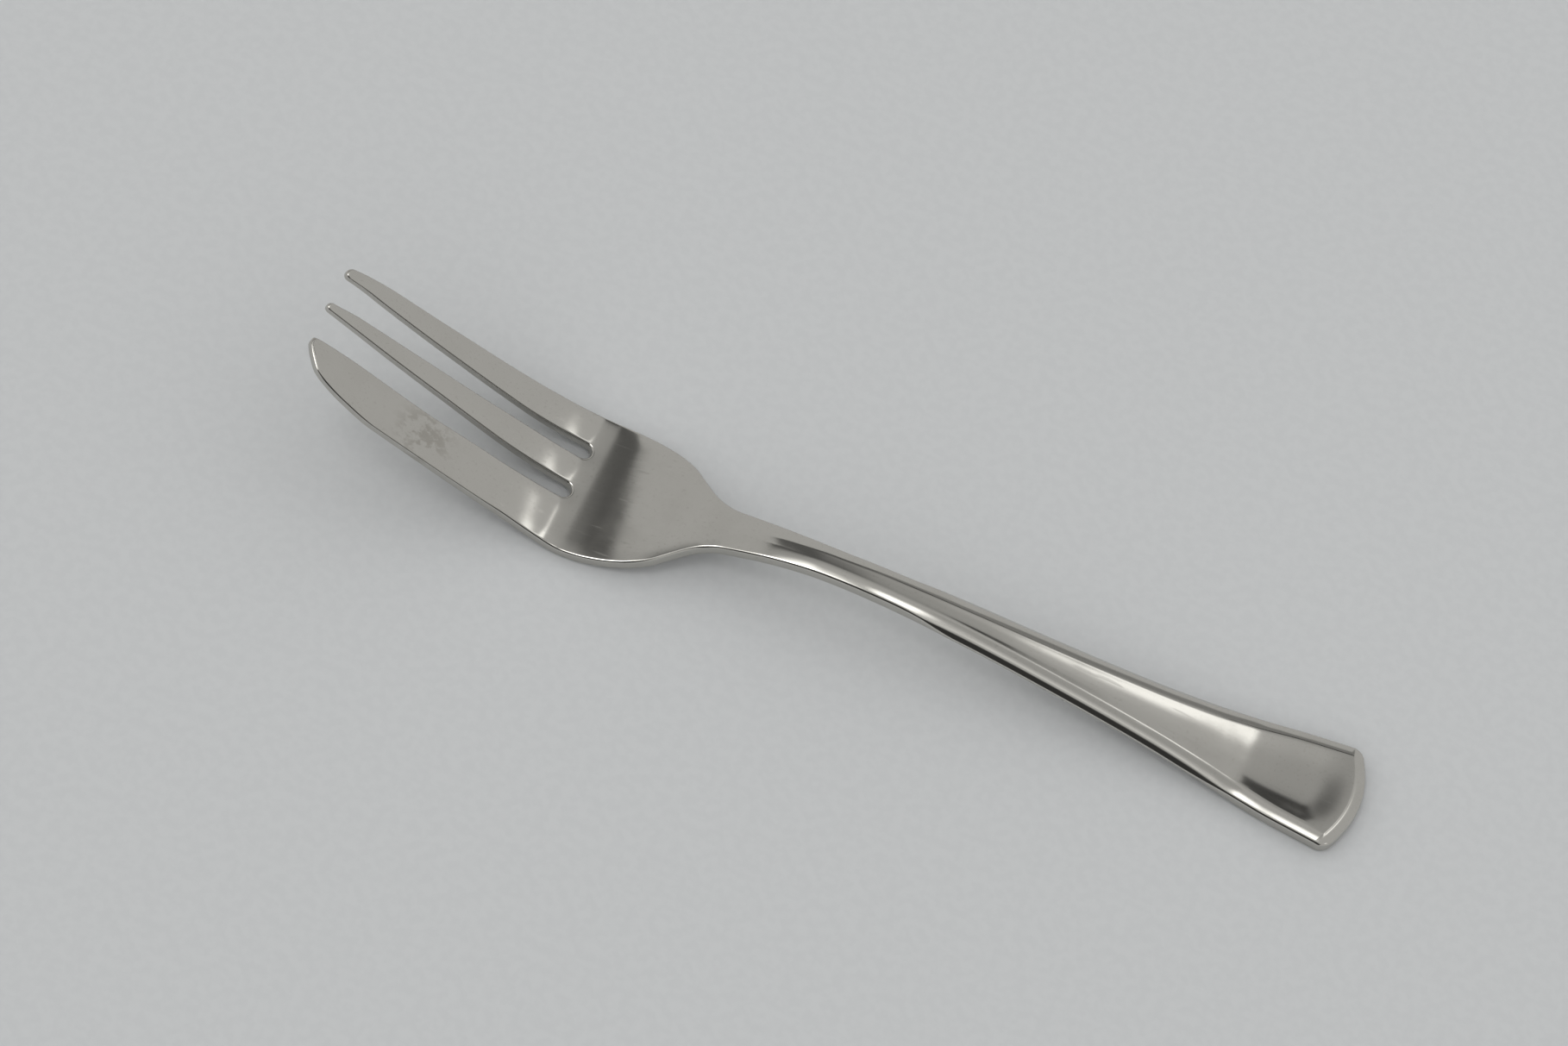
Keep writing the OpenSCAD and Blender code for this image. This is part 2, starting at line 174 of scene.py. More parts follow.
under_knots = (stretched(TINE_RISE, 0, BELLY_AT, 0, TIP_RISE) + [(BELLY_AT, 0)]
               + stretched(ARCH_UP, BELLY_AT, ARCH_AT, 0, ARCH_RISE) + [(ARCH_AT, ARCH_RISE)]
               + stretched(ARCH_DOWN, ARCH_AT, LENGTH, 0, ARCH_RISE))
thick_knots = [(0, TIP_THICK), (BELLY_AT, BELLY_THICK), (HEAD_LENGTH, SHOULDER_THICK),
               (ARCH_AT, ARCH_THICK), (LENGTH, END_THICK)]
under_table = faired(through_knots(under_knots, STATIONS), STEP, FAIRING)
slope_table = np.gradient(under_table, STATIONS)
thick_table = through_knots(thick_knots, STATIONS)
lean_table = -slope_table / np.hypot(slope_table, 1)
top_table = STATIONS + lean_table * thick_table


def at_station(table, s):
    return np.interp(s, STATIONS, table)


def foot(top_x):
    """Station of the underside below a place on the upper face"""
    return np.interp(top_x, top_table, STATIONS)


print("thickness from", thick_table.min(), "to", thick_table.max(), "mm")

# %% [markdown]
# ## The outline of the blank
# Seen from above, the head is nearly straight on the plain side and bulges to a pointed
# tip on the cutting side. The shoulders draw in to the neck, and the handle widens to a
# bowed end. In the handle the sides also slant outwards, below the rim.

# %% Tables of the outline
PLAIN_EDGE = [(0, 0.69), (0.05, 0.744), (0.11, 0.787), (0.17, 0.812), (0.33, 0.842),
              (0.61, 0.895), (0.8, 0.947)]
KNIFE_EDGE = [(0, 0.405), (0.015, 0.447), (0.045, 0.605), (0.085, 0.758), (0.14, 0.84),
              (0.2, 0.893), (0.31, 0.947), (0.5, 0.944), (0.75, 0.938), (0.9, 0.97)]
SHOULDER = [(0.1, 0.012), (0.24, 0.06), (0.39, 0.15), (0.49, 0.245), (0.58, 0.36),
            (0.71, 0.625), (0.8, 0.80), (0.88, 0.915)]
HANDLE = [(0.1, 0.018), (0.262, 0.0755), (0.423, 0.171), (0.605, 0.327), (0.716, 0.483),
          (0.797, 0.65), (0.877, 0.827), (0.958, 0.943)]
SIDES = [(0, 0), (0.27, 0), (0.37, 1), (0.75, 1), (0.9, 0), (1, 0)]
SIDE_SPREAD = 0.46

shoulder_knots = ([(BELLY_AT, HEAD_HALF)]
                  + stretched(SHOULDER, BELLY_AT, HEAD_LENGTH, HEAD_HALF, SHOULDER_WIDTH / 2)
                  + [(HEAD_LENGTH, SHOULDER_WIDTH / 2), (NARROW_AT, NECK_WIDTH / 2)]
                  + stretched(HANDLE, NARROW_AT, LENGTH - END_BOW, NECK_WIDTH / 2, END_WIDTH / 2)
                  + [(LENGTH - END_BOW, END_WIDTH / 2)])
plain_knots = stretched(PLAIN_EDGE, 0, BELLY_AT, 0, HEAD_HALF) + shoulder_knots
knife_knots = stretched(KNIFE_EDGE, 0, BELLY_AT, 0, HEAD_HALF) + shoulder_knots


def bow(s):
    """How far the side edges lie behind the middle, which makes the bowed end"""
    return END_BOW * eased(s, NARROW_AT, LENGTH)


handle_share = np.clip((STATIONS - HEAD_LENGTH) / (LENGTH - HEAD_LENGTH), 0, 1)
side_table = through_knots(SIDES, handle_share)
side_table[STATIONS < HEAD_LENGTH] = 0
plain_table = faired(through_knots(plain_knots, top_table - bow(STATIONS)), STEP, FAIRING)
plain_table = plain_table + SIDE_SPREAD * side_table
knife_table = through_knots(knife_knots, top_table - bow(STATIONS)) + SIDE_SPREAD * side_table
print("plain side at the belly, mm:", round(float(at_station(plain_table, BELLY_AT)), 2))

# %% [markdown]
# ## The edges of the gaps
# Two gaps part the tines. Each tapers from the tips to a round root, as a punch leaves
# it. A Boolean could cut a gap, but it leaves ragged faces just where the light plays, so
# its edges are outlines like the others and the mesh is laid round them.

# %% Edges of the gaps
PLAIN_TINE_INNER = [(-0.2, 0.57), (0, 0.57), (0.08, 0.577), (0.18, 0.56), (0.43, 0.527),
                    (0.75, 0.507)]
MIDDLE_TINE_UPPER = [(-0.2, 0.14), (0, 0.148), (0.13, 0.208), (0.33, 0.244), (0.56, 0.276),
                     (0.8, 0.31)]
MIDDLE_TINE_LOWER = [(-0.2, 0.04), (0, 0.04), (0.12, 0.026), (0.3, -0.008), (0.5, -0.04),
                     (0.71, -0.073)]
KNIFE_TINE_INNER = [(-0.2, -0.6), (0, -0.46), (0.02, -0.405), (0.05, -0.375), (0.11, -0.356),
                    (0.2, -0.344), (0.45, -0.355), (0.66, -0.33)]
UPPER_ROOT, LOWER_ROOT = 0.42 * HEAD_HALF, -0.2 * HEAD_HALF
ROOT_RADIUS = ROOT_WIDTH / 2
ROOT_AT = TINE_LENGTH - ROOT_RADIUS


def gap_edge(shares, root_y):
    """One edge of a gap as a curve over the upper face, ending at the round root"""
    knots = [(a * TINE_LENGTH, b * HEAD_HALF) for a, b in shares] + [(ROOT_AT, root_y)]
    return lambda x: through_knots(knots, np.asarray(x, float))


plain_inner = gap_edge(PLAIN_TINE_INNER, UPPER_ROOT + ROOT_RADIUS)
middle_upper = gap_edge(MIDDLE_TINE_UPPER, UPPER_ROOT - ROOT_RADIUS)
middle_lower = gap_edge(MIDDLE_TINE_LOWER, LOWER_ROOT + ROOT_RADIUS)
knife_inner = gap_edge(KNIFE_TINE_INNER, LOWER_ROOT - ROOT_RADIUS)


def plain_outer(x):
    return at_station(plain_table, foot(x))


def knife_outer(x):
    return -at_station(knife_table, foot(x))


print("gaps at the tips, mm:", round(float(plain_inner(0) - middle_upper(0)), 2),
      round(float(middle_lower(0) - knife_inner(0)), 2))

# %% [markdown]
# ## How the mesh lies on the blank
# Rows of faces run across the fork and columns run along it. Near every edge the columns
# follow it at fixed distances, close together, so that the rounding of the edge has faces
# of its own. Round a tine's tip and a gap's root these columns turn with the outline, as
# an inset does.

# %% Values for the layout
EDGE_RINGS = np.array([0, 0.012, 0.045, 0.1, 0.17, 0.25, 0.33, 0.42, 0.5])
RINGS = len(EDGE_RINGS) - 1
ROOT_END = ROOT_AT + ROOT_RADIUS + EDGE_RINGS[-1]
TINE_ROWS = 84
SIDE_STEPS = 5
ROOT_STEPS = 8
KNIFE_COLUMNS, MIDDLE_COLUMNS, PLAIN_COLUMNS = 12, 6, 6
COUNTS = [RINGS, KNIFE_COLUMNS, ROOT_STEPS, MIDDLE_COLUMNS, ROOT_STEPS, PLAIN_COLUMNS, RINGS]
COLUMNS = sum(COUNTS)
print("columns across the head:", COLUMNS)

# %% [markdown]
# ## Outlines of the three tines
# Each tine's outline starts level with the roots of the gaps, runs to the tip, turns
# there and runs back. A corner is a quarter of a circle pushed into the angle between its
# two sides, which stays smooth even where they aren't square to each other, as at the
# knife tine's point.

# %% Outlines of the tines
TIP_AT = float(top_table[0])
DENSE = 0.02
CORNER_STEPS, SLIM_TURN, KNIFE_TURN = 24, 8, 10
MIDDLE_TIP_ROUND, PLAIN_TIP_ROUND = 0.62, 0.7
POINT_BACK, INNER_ROUND, OUTER_ROUND, POINT_OVER = 0.3, 0.45, 0.25, 0.02
CUTTING_TURN_AT, CUTTING_SIDE = 3.3, -6.0


def turned_corner(start, corner, end):
    """Quarter circle fitted into a corner between two places on its sides"""
    start, corner, end = map(np.asarray, (start, corner, end))
    middle = start + end - corner
    angle = np.linspace(0, math.pi / 2, CORNER_STEPS)[:, None]
    return middle + (start - middle) * np.cos(angle) + (end - middle) * np.sin(angle)


def along(edge, start, end):
    x = np.arange(start, end, DENSE if end > start else -DENSE)
    return np.stack([x, edge(x)], axis=1)


def slim_outline(upper, lower, radius):
    """Upper edge, round tip and lower edge of a slim tine"""
    shoulder = TIP_AT + radius
    high, low = float(upper(TIP_AT)), float(lower(TIP_AT))
    middle = (high + low) / 2
    start = (shoulder, float(upper(shoulder)))
    end = (shoulder, float(lower(shoulder)))
    first = turned_corner(start, (TIP_AT, high), (TIP_AT, middle))
    second = turned_corner((TIP_AT, middle), (TIP_AT, low), end)
    root = [(ROOT_AT, float(lower(ROOT_AT)))]
    line = np.concatenate([along(upper, ROOT_AT, shoulder), first, second[1:],
                           along(lower, shoulder, ROOT_AT)[1:], root])
    return line, first[-SLIM_TURN], second[SLIM_TURN]


def knife_outline():
    """Inner edge, pointed tip and cutting edge of the broad tine"""
    tip = TIP_AT + POINT_BACK
    start = (tip + INNER_ROUND, float(knife_inner(tip + INNER_ROUND)))
    end = (tip + OUTER_ROUND, float(knife_outer(tip + OUTER_ROUND)))
    point = (tip - POINT_OVER, float(knife_inner(tip + POINT_BACK)) + POINT_OVER)
    corner = turned_corner(start, point, end)
    root = [(ROOT_AT, float(knife_outer(ROOT_AT)))]
    line = np.concatenate([along(knife_inner, ROOT_AT, start[0]), corner,
                           along(knife_outer, end[0], ROOT_AT)[1:], root])
    off_side = (line[:, 1] > CUTTING_SIDE) * LENGTH
    turn_at = line[np.argmin(np.abs(line[:, 0] - CUTTING_TURN_AT) + off_side)]
    return line, corner[KNIFE_TURN], turn_at


middle_line = slim_outline(middle_upper, middle_lower, MIDDLE_TIP_ROUND)
plain_line = slim_outline(plain_outer, plain_inner, PLAIN_TIP_ROUND)
knife_line = knife_outline()
print("points on the outlines:", [len(line[0]) for line in (knife_line, middle_line, plain_line)])

# %% [markdown]
# ## Helpers for nets
# What is left inside the edge columns has four sides, and is filled with a net whose
# lines blend from one side to the other. Such a net needs nothing but its four sides.

# %% Helpers for nets
def run_along(line):
    return np.concatenate([[0], np.cumsum(np.hypot(*np.diff(line, axis=0).T))])


def resampled(line, places):
    """Points at given distances along a line"""
    run = run_along(line)
    return np.stack([np.interp(places, run, line[:, 0]), np.interp(places, run, line[:, 1])], axis=1)


def run_to(line, point):
    """Distance along a line to the place nearest to a point, and the line's length"""
    run = run_along(line)
    return run[np.argmin(np.hypot(*(line - point).T))], run[-1]


def blended_net(top, bottom, first, last):
    """Net between four sides: top and bottom run along it, first and last across it"""
    u = run_along(top + bottom)
    u = (u / u[-1])[:, None, None]
    v = np.linspace(0, 1, len(first))[None, :, None]
    along_it = (1 - v) * top[:, None] + v * bottom[:, None]
    across_it = (1 - u) * first[None] + u * last[None]
    corners = ((1 - u) * ((1 - v) * top[0] + v * bottom[0])
               + u * ((1 - v) * top[-1] + v * bottom[-1]))
    return along_it + across_it - corners


def with_distance(net, line):
    """Adds to every point its distance from the outline, as a third value"""
    points = net.reshape(-1, 2)
    sparse = line[::2]
    nearest = np.array([np.hypot(*(sparse - p).T).min() for p in points])
    return np.concatenate([net, nearest.reshape(net.shape[:2] + (1,))], axis=2)


print("length of the knife tine's outline, mm:", round(float(run_along(knife_line[0])[-1]), 1))

# %% [markdown]
# ## Nets of the tines
# The edge columns are the outline moved inwards by a little more each time. The direction
# inwards is smoothed, so that the columns don't jitter, and at the knife tine's point
# they draw together, because there is no room for their full distances.

# %% Nets of the tines
TINE_CROWDING = 1.4
SMOOTHED_OVER = 9
TIP_REACH, TIP_SPREAD = 2.0, 1.6
KNIFE_TIP_SCALE, MIDDLE_TIP_SCALE, PLAIN_TIP_SCALE = 0.42, 0.95, 1.0


def directions_inwards(line, even):
    """Directions square to an outline, smoothed, at even places along it"""
    heading = np.gradient(resampled(line, even), axis=0)
    heading /= np.hypot(*heading.T)[:, None]
    inward = np.stack([-heading[:, 1], heading[:, 0]], axis=1)
    weights = np.ones(SMOOTHED_OVER) / SMOOTHED_OVER
    inward = np.stack([np.convolve(np.pad(c, SMOOTHED_OVER // 2, mode="edge"), weights, "valid")
                       for c in inward.T], axis=1)
    inward /= np.hypot(*inward.T)[:, None]
    return inward


def tine_nets(line, upper_turn, lower_turn, columns, tip_scale):
    """Edge band and core of one tine"""
    upper_run, total = run_to(line, upper_turn)
    lower_run, _ = run_to(line, lower_turn)
    u = np.linspace(0, 1, TINE_ROWS + 1)
    crowd = 1 - (1 - u) ** TINE_CROWDING
    places = np.concatenate([upper_run * crowd[:-1],
                             np.linspace(upper_run, lower_run, columns + 1)[:-1],
                             total - (total - lower_run) * crowd[::-1]])
    even = np.arange(0, total, DENSE)
    inward = directions_inwards(line, even)
    normal = np.stack([np.interp(places, even, inward[:, k]) for k in (0, 1)], axis=1)
    tip_run = (upper_run + min(lower_run, upper_run + TIP_REACH)) / 2
    scale = 1 - (1 - tip_scale) * np.exp(-((places - tip_run) / TIP_SPREAD) ** 2)
    scale[[0, -1]] = 1
    for k in (0, -1):
        normal[k] = (0, 1 / inward[k, 1])
    reach = scale[:, None] * EDGE_RINGS[None]
    band = resampled(line, places)[:, None] + reach[..., None] * normal[:, None]
    band = np.concatenate([band, reach[..., None]], axis=2)
    inner = band[:, -1, :2]
    top = inner[:TINE_ROWS + 1]
    bottom = inner[-TINE_ROWS - 1:][::-1]
    across = np.linspace(0, 1, columns + 1)[:, None]
    first = inner[0] * (1 - across) + inner[-1] * across
    last = inner[TINE_ROWS:TINE_ROWS + columns + 1]
    return band, with_distance(blended_net(top, bottom, first, last), line)


middle_band, middle_core = tine_nets(*middle_line, MIDDLE_COLUMNS, MIDDLE_TIP_SCALE)
plain_band, plain_core = tine_nets(*plain_line, PLAIN_COLUMNS, PLAIN_TIP_SCALE)
knife_band, knife_core = tine_nets(*knife_line, KNIFE_COLUMNS, KNIFE_TIP_SCALE)
print("tine nets:", knife_band.shape, knife_core.shape, middle_core.shape, plain_core.shape)

# %% [markdown]
# ## Round the roots of the gaps
# The edge columns of two neighbouring tines meet round the root of the gap between them,
# in rings. The inner rings are round and the last one is square, so that the straight
# rows and columns of the head can go on from it.

# %% Nets round the roots
SQUARED_RINGS = 2


def root_net(lower_band, upper_band):
    """Rings round one root, from the tine below the gap to the tine above it"""
    low, high = lower_band[0], upper_band[-1]
    side = np.linspace(0, 1, SIDE_STEPS + 1)
    end = np.linspace(-1, 1, ROOT_STEPS + 1)
    square = np.concatenate([np.stack([side[:-1], -np.ones(SIDE_STEPS)], axis=1),
                             np.stack([np.ones(ROOT_STEPS + 1), end], axis=1),
                             np.stack([side[:-1], np.ones(SIDE_STEPS)], axis=1)[::-1]])
    round_one = square / np.hypot(*square.T)[:, None]
    rings = []
    for j, distance in enumerate(EDGE_RINGS):
        share = max(0, (j - RINGS + SQUARED_RINGS) / SQUARED_RINGS) ** 2
        shape = round_one * (1 - share) + square * share
        middle, half = (low[j, 1] + high[j, 1]) / 2, (high[j, 1] - low[j, 1]) / 2
        ring = np.stack([ROOT_AT + (ROOT_RADIUS + distance) * shape[:, 0],
                         middle + half * shape[:, 1], np.full(len(shape), distance)], axis=1)
        rings.append(ring)
    return np.stack(rings)


upper_root = root_net(middle_band, plain_band)
lower_root = root_net(knife_band, middle_band)
print("root nets:", upper_root.shape, lower_root.shape)

# %% [markdown]
# ## Rows across the head
# Behind the tines each row runs from one side of the blank to the other, through the
# places where the tines' columns end, so that every column goes on. Where the outline
# slants, the edge columns lie further apart across the fork.

# %% Rows across the head
MOST_SLANT = 1.5


def rounded_off(distance, radius):
    """How far a rounded edge has dropped at a distance in from the edge"""
    reach = np.clip(radius - np.maximum(distance, 0), 0, radius)
    return radius - np.sqrt(np.maximum(radius ** 2 - reach ** 2, 0))


def half_at(table, s):
    """Half width of the blank with the cut corners of the handle end"""
    return at_station(table, s) - rounded_off(LENGTH - s, END_CORNER)


def half_beside(s, y):
    """Half width of the blank on the side of the middle that each place is on"""
    return np.where(y > 0, half_at(plain_table, s), half_at(knife_table, s))


def edge_stretch(table, s):
    """How much further apart edge columns lie across the fork where its outline slants"""
    slant = np.gradient(table, STATIONS)[int(round(s / STEP))]
    return np.sqrt(1 + np.minimum(slant ** 2, MOST_SLANT))


fixed_lines = [lower_root[-1, 0, 1], lower_root[-1, -1, 1], upper_root[-1, 0, 1], upper_root[-1, -1, 1]]


def head_row(s):
    """Places across the head at a station, from the knife side to the plain side"""
    knife_half, plain_half = half_at(knife_table, s), half_at(plain_table, s)
    knife_steps = -knife_half + EDGE_RINGS * edge_stretch(knife_table, s)
    plain_steps = (plain_half - EDGE_RINGS * edge_stretch(plain_table, s))[::-1]
    marks = [knife_steps[-1]] + fixed_lines + [plain_steps[0]]
    inner = [np.linspace(marks[k], marks[k + 1], COUNTS[k + 1] + 1)[1:] for k in range(len(marks) - 1)]
    return np.concatenate([knife_steps] + inner + [plain_steps[1:]])


def beside_roots(first, last):
    """Net of the head next to a root, over some of the head's columns"""
    rows = []
    for x in np.linspace(ROOT_AT, ROOT_END, SIDE_STEPS + 1):
        whole_row = head_row(foot(x))
        row = whole_row[first:last + 1]
        distance = np.minimum(np.abs(row - whole_row[0]), np.abs(row - whole_row[-1]))
        rows.append(np.stack([np.full(len(row), x), row, distance], axis=1))
    rows = np.stack(rows)
    if first == 0:
        rows[:, :RINGS + 1, 2] = EDGE_RINGS
    if last == COLUMNS:
        rows[:, -RINGS - 1:, 2] = EDGE_RINGS[::-1]
    return rows


ends = np.cumsum([0] + COUNTS)
side_nets = [beside_roots(0, ends[2]), beside_roots(ends[3], ends[4]), beside_roots(ends[5], COLUMNS)]
print("nets beside the roots:", [net.shape for net in side_nets])

# %% [markdown]
# ## Rows across the handle
# In the handle the columns crowd where the section turns: at the edges and at the crest
# that borders the panel. The crest starts in the middle of the neck and opens out until
# it is the rim's width from the edge.

# %% Rows across the handle
RIM_WIDTH, PANEL_START = 1.75, 20.0
CREST_COLUMNS, SLOPE_COLUMNS = 8, 5
PANEL_COLUMNS = COLUMNS // 2 - RINGS - CREST_COLUMNS - SLOPE_COLUMNS
LEAST_PANEL = 0.4
CREST_ZONE, CREST_ZONE_SHARE, LEAST_RIM = 0.3, 0.45, 0.1
RING_SPREAD = 0.3


def opening(s):
    """How far the panel has opened out, from 0 at the neck to 1"""
    u = np.clip((s - HEAD_LENGTH) / PANEL_START, 0, 1)
    return u * (2 - u)


def crest_at(s, half):
    """Distance of the panel's border from the middle"""
    return np.maximum(0, half - RIM_WIDTH - SIDE_SPREAD * at_station(side_table, s)) * opening(s)


def handle_rings(s):
    """Distances of the edge columns from the edge, wider where the side slants"""
    return EDGE_RINGS * (1 + RING_SPREAD * at_station(side_table, s))


def handle_row(s):
    """Places across the handle at a station, crowded at the edges and the crest"""
    half = float(half_at(plain_table, s))
    edge = half - handle_rings(s) * edge_stretch(plain_table, s)
    crest = max(float(crest_at(s, half)), LEAST_PANEL * half)
    crest = min(crest, edge[-1] - LEAST_RIM)
    zone = min(CREST_ZONE, CREST_ZONE_SHARE * (edge[-1] - crest))
    side = np.concatenate([np.linspace(0, crest - zone, PANEL_COLUMNS + 1),
                           np.linspace(crest - zone, crest + zone, CREST_COLUMNS + 1)[1:],
                           np.linspace(crest + zone, edge[-1], SLOPE_COLUMNS + 1)[1:],
                           edge[::-1][1:]])
    return np.concatenate([-side[::-1], side[1:]])


print("columns across the handle:", len(handle_row(ARCH_AT)) - 1)

# %% [markdown]
# ## From the roots to the end of the handle
# One net of rows and columns runs from the roots to the handle end. Along the shoulders
# the head's even columns turn bit by bit into the handle's crowded ones. Every place also
# carries its distance from the edge, which the rounding needs later.

# %% Net of the head, neck and handle
ROW_STEP = 0.42
BLEND_PAST_HEAD = 3
first_row = head_row(foot(ROOT_END))


def body_row(s):
    """The head's even columns turn into the handle's crowded ones along the shoulders"""
    scale = half_at(plain_table, s) / half_at(plain_table, foot(ROOT_END))
    head = first_row * scale
    steps_low = -half_at(knife_table, s) + handle_rings(s) * edge_stretch(knife_table, s)
    steps_high = half_at(plain_table, s) - handle_rings(s) * edge_stretch(plain_table, s)
    inner = head[RINGS:-RINGS]
    widening = (steps_high[-1] - steps_low[-1]) / (inner[-1] - inner[0])
    inner = steps_low[-1] + (inner - inner[0]) * widening
    head = np.concatenate([steps_low[:-1], inner, steps_high[::-1][1:]])
    blend = eased(s, BELLY_AT, HEAD_LENGTH + BLEND_PAST_HEAD)
    return head * (1 - blend) + handle_row(s) * blend


def run_ahead(s, y):
    """How far places beside the middle fall back, which makes the bowed end"""
    half = np.where(y > 0, at_station(plain_table, s), at_station(knife_table, s))
    return bow(s) * np.minimum(1, np.abs(y) / half) ** 2


def edge_distance(s, y, half):
    """Distance from the edge of the handle, round the corners of its end too"""
    side = half + rounded_off(LENGTH - s, END_CORNER) - abs(y)
    back = LENGTH - s
    round_it = (side < END_CORNER) & (back < END_CORNER)
    return np.where(round_it, END_CORNER - np.hypot(END_CORNER - side, END_CORNER - back),
                    np.minimum(np.minimum(side, back), half - abs(y)))


end_rings = LENGTH - EDGE_RINGS[::-1]
end_crest = LENGTH - RIM_WIDTH + np.linspace(-CREST_ZONE, CREST_ZONE, CREST_COLUMNS + 1)
end_slope = np.linspace(end_crest[-1], end_rings[0], SLOPE_COLUMNS)
start_s = float(foot(ROOT_END))
long_rows = np.linspace(start_s, end_crest[0], int((end_crest[0] - start_s) / ROW_STEP) + 1)
body_rows = []
for s in np.concatenate([long_rows, end_crest[1:], end_slope[1:], end_rings[1:]]):
    y = body_row(s)
    half = half_beside(s, y)
    x = s - run_ahead(s, y)
    distance = edge_distance(s, y, half)
    if LENGTH - s > END_CORNER:
        distance[:RINGS + 1] = handle_rings(s)
        distance[-RINGS - 1:] = handle_rings(s)[::-1]
    body_rows.append(np.stack([x + at_station(lean_table * thick_table, x), y, distance], axis=1))
body_net = np.stack(body_rows)
print("body net:", body_net.shape)

# %% [markdown]
# ## The rim and the panel
# The dies leave a panel that is nearly flat in the middle and steeper towards its crest,
# and a rim that slopes from the crest to the edge. The crest is crisp but not sharp, as a
# die's corner is always a little round. Both are depths below the plain sheet, so they
# follow the bent handle by themselves.

# %% Depth of the rim and the panel
RIM_DROP, CREST_SOFT, RIM_ROUND = 0.4, 0.22, 0.5
PANEL_DEPTH, PANEL_RISE = 0.36, 4.8
PANEL_DEPTHS = [(0, 0), (0.28, 0.04), (0.39, 0.13), (0.5, 0.22), (0.61, 0.31), (0.72, 0.42),
                (0.83, 0.57), (0.91, 0.85), (1, 1)]
DISH_POWER, CREST_POWER = 3, 16
SIDE_WIDTH = 0.6
TINY = 1e-6


def rim_fall(v):
    """Starts flat at the crest, turns quickly, runs on and rounds over towards the edge"""
    line = (np.sqrt(v * v + CREST_SOFT ** 2) - CREST_SOFT) / (math.hypot(1, CREST_SOFT) - CREST_SOFT)
    return (1 - RIM_ROUND) * line + RIM_ROUND * v * v


def slope_down(s):
    """Whole drop of the rim, which fades in along the shoulders"""
    return RIM_DROP * eased(s, BELLY_AT, NARROW_AT)


def rim_way(s, y, half):
    """Way from the crest to the edge, from 0 to 1, round the end of the panel too"""
    crest, slant = crest_at(s, half), at_station(side_table, s)
    across = np.maximum(0, np.abs(y) - crest) / (half - SIDE_WIDTH * slant - crest)
    end = np.maximum(0, 1 - (LENGTH - s) / RIM_WIDTH) * opening(s)
    return np.where(slant > 0, across, np.minimum(1, np.hypot(across, end)))


def panel_depth(s, y, half):
    """Depth of the struck panel: nearly flat in the middle, steeper towards its crest"""
    crest = crest_at(s, half)
    along_handle = np.clip((s - HEAD_LENGTH) / (LENGTH - HEAD_LENGTH), 0, 1)
    depth = (PANEL_DEPTH * through_knots(PANEL_DEPTHS, along_handle)
             * ease((LENGTH - s - RIM_WIDTH) / PANEL_RISE))
    inside = np.where(crest > 0, np.minimum(1, np.abs(y) / np.maximum(crest, TINY)), 1)
    part = DISH_POWER / CREST_POWER
    return depth * (1 - (inside ** DISH_POWER - part * inside ** CREST_POWER) / (1 - part))


deepest = panel_depth(STATIONS, 0, half_at(plain_table, STATIONS)).max()
print("deepest place of the panel, mm:", round(float(deepest), 2))

# %% [markdown]
# ## Sides, edges and back
# No edge of a fork is left sharp. The upper edge has a small radius, and the lower one is
# rounder at the neck, where a finger lies. In the handle the sides slant and the back
# curves up to meet them. A bevel could round the edges, but its width is even, and here
# it has to change along the fork.

# %% Height of the upper and the lower face
EDGE_RADIUS, SIDE_RADIUS = 0.3, 0.12
BACK_RADIUS, NECK_BACK_RADIUS, HANDLE_BACK_RADIUS = 0.35, 0.95, 0.4
SIDE_DROP, SIDE_POWER = 0.25, 1.2
BACK_WIDTH, BACK_LIFT, BACK_POWER = 2.6, 0.8, 2
back_knots = [(0, BACK_RADIUS), (BELLY_AT, BACK_RADIUS), (HEAD_LENGTH, NECK_BACK_RADIUS),
              (ARCH_AT, NECK_BACK_RADIUS), ((LENGTH + ARCH_AT) / 2, HANDLE_BACK_RADIUS),
              (LENGTH, HANDLE_BACK_RADIUS)]


def side_fall(s, gap):
    """How far the slanting side has fallen at a distance from the edge"""
    slant = at_station(side_table, s)
    way = np.clip(1 - gap / np.maximum(SIDE_WIDTH * slant, TINY), 0, 1)
    return SIDE_DROP * slant * way ** SIDE_POWER


def upper_height(s, x, y, half, gap):
    """Sheet less panel, rim, slanting side and rounded edge"""
    slant = at_station(side_table, s)
    return (at_station(thick_table, x) - panel_depth(s, y, half)
            - slope_down(s) * rim_fall(rim_way(s, y, half)) - side_fall(s, gap)
            - rounded_off(gap, EDGE_RADIUS + (SIDE_RADIUS - EDGE_RADIUS) * slant))


def lower_height(s, half, gap):
    """Rounded lower edge, and the curve of the back up to a slanting side"""
    slant = at_station(side_table, s)
    left = (at_station(thick_table, s) - slope_down(s) * rim_fall(rim_way(s, half, half))
            - side_fall(s, 0) - EDGE_RADIUS - (SIDE_RADIUS - EDGE_RADIUS) * slant)
    lift = BACK_LIFT * slant * left * np.clip(1 - gap / BACK_WIDTH, 0, 1) ** BACK_POWER
    radius = through_knots(back_knots, s) * (1 - slant) + left * (1 - BACK_LIFT) / 2 * slant
    return lift + rounded_off(gap, radius)


middle_of_arch = upper_height(ARCH_AT, ARCH_AT, 0, NECK_WIDTH / 2, NECK_WIDTH / 2)
print("metal in the middle of the arch, mm:", round(float(middle_of_arch), 2))

# %% [markdown]
# ## The buffed edges of the head
# The head is buffed on a soft wheel, which takes a little more off near every edge, and
# the belly behind the gaps is bowed across, by a little over a tenth of a millimetre at
# its sides. Neither is seen as a shape, but the reflections bend with them. A search tree
# over the points of all the outlines finds the nearest edge.

